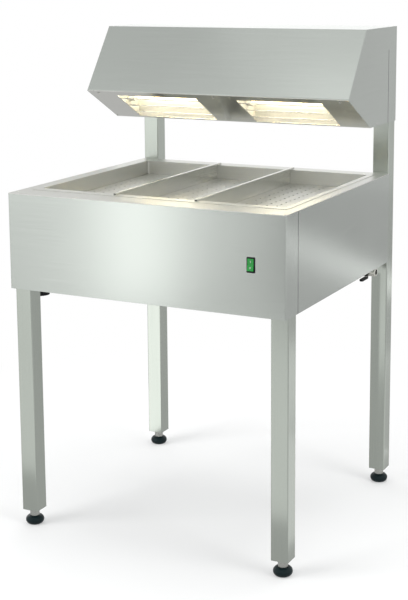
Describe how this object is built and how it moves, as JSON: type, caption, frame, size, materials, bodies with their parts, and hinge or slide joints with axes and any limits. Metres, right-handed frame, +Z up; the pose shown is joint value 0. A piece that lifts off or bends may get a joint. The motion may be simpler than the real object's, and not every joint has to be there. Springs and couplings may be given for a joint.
{
  "type": "chip warmer",
  "caption": "Free-standing stainless chip warmer: heated basin with removable dividers and drain plate on four levelling feet, under a post-mounted hood with heat lamps.",
  "frame": {"origin": "on the floor under the middle of the object's outer box", "axes": "+Z up; -Y towards the user's side with the switch; +X to the user's right"},
  "size_m": [0.7632, 0.7511, 1.28],
  "materials": {
    "panel_steel": "fine horizontal brushed stainless sheet",
    "leg_steel": "lengthwise brushed stainless tube",
    "basin_steel": "bright cold-rolled stainless",
    "reflector": "bright rolled reflector sheet",
    "quartz": "clear quartz tube",
    "filament": "glowing wound heating wire",
    "ceramic": "unglazed steatite",
    "spreader_aluminium": "mill finish",
    "element_sheath": "oxidised heater sheath",
    "bolt_steel": "plain turned stainless",
    "tap_nickel": "satin nickel-plated brass",
    "black_plastic": "moulded black",
    "green_rocker": "translucent green, lit from behind",
    "foot_rubber": "moulded black rubber"
  },
  "bodies": {
    "frame": {"base_panel": "panel_steel", "base_screws": "bolt_steel", "basin": "basin_steel", "basin_element": "element_sheath", "cabinet_bolts": "bolt_steel", "cable_gland": "black_plastic", "drain_pipe": "bolt_steel", "drain_tap": "tap_nickel", "element_clamps": "bolt_steel", "front_leg_left": "leg_steel", "front_leg_right": "leg_steel", "front_panel": "panel_steel", "front_rail": "leg_steel", "gland_nut": "black_plastic", "guard_rods": "bolt_steel", "heat_spreader": "spreader_aluminium", "hood_back": "panel_steel", "hood_bolts": "bolt_steel", "hood_cover": "panel_steel", "hood_side_left": "panel_steel", "hood_side_right": "panel_steel", "hood_underside": "basin_steel", "lamp_filaments": "filament", "lamp_sockets": "ceramic", "lamp_terminals": "ceramic", "lamp_tube_left": "quartz", "lamp_tube_right": "quartz", "leg_inserts": "bolt_steel", "mains_terminals": "ceramic", "overheat_cutout": "black_plastic", "rear_panel": "panel_steel", "rear_post_left": "leg_steel", "rear_post_right": "leg_steel", "reflector_left": "reflector", "reflector_right": "reflector", "side_panel_left": "panel_steel", "side_panel_right": "panel_steel", "side_rail_left": "leg_steel", "side_rail_right": "leg_steel", "side_screws": "bolt_steel", "switch_body": "black_plastic", "thermostat": "black_plastic", "top_rim": "panel_steel", "underside_screws": "bolt_steel"},
    "rocker": {"switch_rocker": "green_rocker"},
    "knob": {"thermostat_knob": "black_plastic", "thermostat_spindle": "bolt_steel"},
    "drain_handle": {"tap_handle": "black_plastic", "tap_ball": "bolt_steel"},
    "plate": {"drain_plate": "basin_steel"},
    "divider_left": {"divider_left": "basin_steel"},
    "divider_right": {"divider_right": "basin_steel"},
    "foot_front_left": {"foot_stem_front_left": "bolt_steel", "foot_pad_front_left": "foot_rubber"},
    "foot_front_right": {"foot_stem_front_right": "bolt_steel", "foot_pad_front_right": "foot_rubber"},
    "foot_rear_left": {"foot_stem_rear_left": "bolt_steel", "foot_pad_rear_left": "foot_rubber"},
    "foot_rear_right": {"foot_stem_rear_right": "bolt_steel", "foot_pad_rear_right": "foot_rubber"}
  },
  "joints": [
    {"name": "rocker_tip", "type": "hinge", "parent": "frame", "child": "rocker", "pos_m": [0.292, -0.36578, 0.7625], "axis": [1, 0, 0], "range_deg": [0, 16]},
    {"name": "knob_turn", "type": "hinge", "parent": "frame", "child": "knob", "pos_m": [-0.353, -0.27678, 0.63], "axis": [0, 0, -1], "range_deg": [0, 270]},
    {"name": "drain_turn", "type": "hinge", "parent": "frame", "child": "drain_handle", "pos_m": [0.346, 0.25222, 0.626], "axis": [0, 0, -1], "range_deg": [0, 90]},
    {"name": "plate_lift", "type": "slide", "parent": "frame", "child": "plate", "axis": [0, 0, 1], "range_m": [0, 0.085]},
    {"name": "divider_left_lift", "type": "slide", "parent": "plate", "child": "divider_left", "axis": [0, 0, 1], "range_m": [0, 0.045]},
    {"name": "divider_right_lift", "type": "slide", "parent": "plate", "child": "divider_right", "axis": [0, 0, 1], "range_m": [0, 0.045]},
    {"name": "foot_front_left_adjust", "type": "slide", "parent": "frame", "child": "foot_front_left", "axis": [0, 0, -1], "range_m": [0, 0.03]},
    {"name": "foot_front_right_adjust", "type": "slide", "parent": "frame", "child": "foot_front_right", "axis": [0, 0, -1], "range_m": [0, 0.03]},
    {"name": "foot_rear_left_adjust", "type": "slide", "parent": "frame", "child": "foot_rear_left", "axis": [0, 0, -1], "range_m": [0, 0.03]},
    {"name": "foot_rear_right_adjust", "type": "slide", "parent": "frame", "child": "foot_rear_right", "axis": [0, 0, -1], "range_m": [0, 0.03]}
  ]
}
